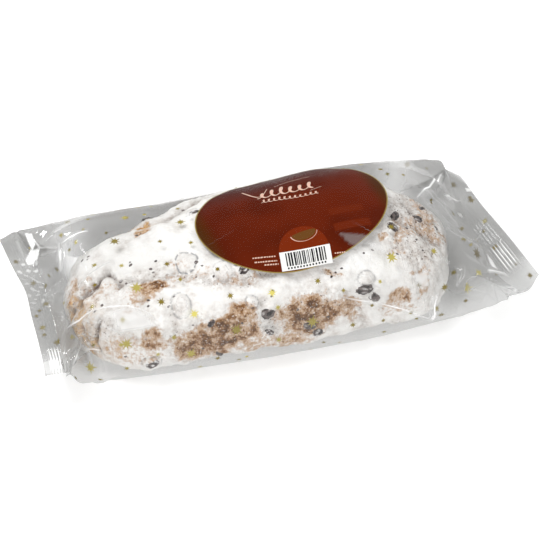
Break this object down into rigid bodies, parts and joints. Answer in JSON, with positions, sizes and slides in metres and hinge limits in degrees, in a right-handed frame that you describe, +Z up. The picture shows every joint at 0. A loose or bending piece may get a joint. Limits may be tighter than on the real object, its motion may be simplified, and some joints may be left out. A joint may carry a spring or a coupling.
{
  "type": "bagged stollen",
  "caption": "Sugar-dusted stollen loaf lying in a sealed clear film bag, with crimped ends, tucked sides and a dark red oval printed on top.",
  "frame": {"origin": "middle of the flat underside, under the middle of the whole bag", "axes": "+X along the loaf towards the seal that is bent up, +Y towards the back side of the bag, +Z up through the printed top"},
  "size_m": [0.325, 0.1386, 0.076],
  "materials": {
    "clear_film": "clear glossy polypropylene film, finely creased, with ribbed heat seals",
    "sugar_coat": "matte powdered sugar, lumpy and cracked, over a thin buttered crust that shows brown where it is thin",
    "raisin": "dark wrinkled raisins dusted with sugar",
    "red_print": "oxblood red ink on film",
    "gold_print": "metallic gold ink on film",
    "pale_print": "white and cream ink on film"
  },
  "bodies": {
    "root": {"stollen_bag": "clear_film"}
  },
  "joints": []
}
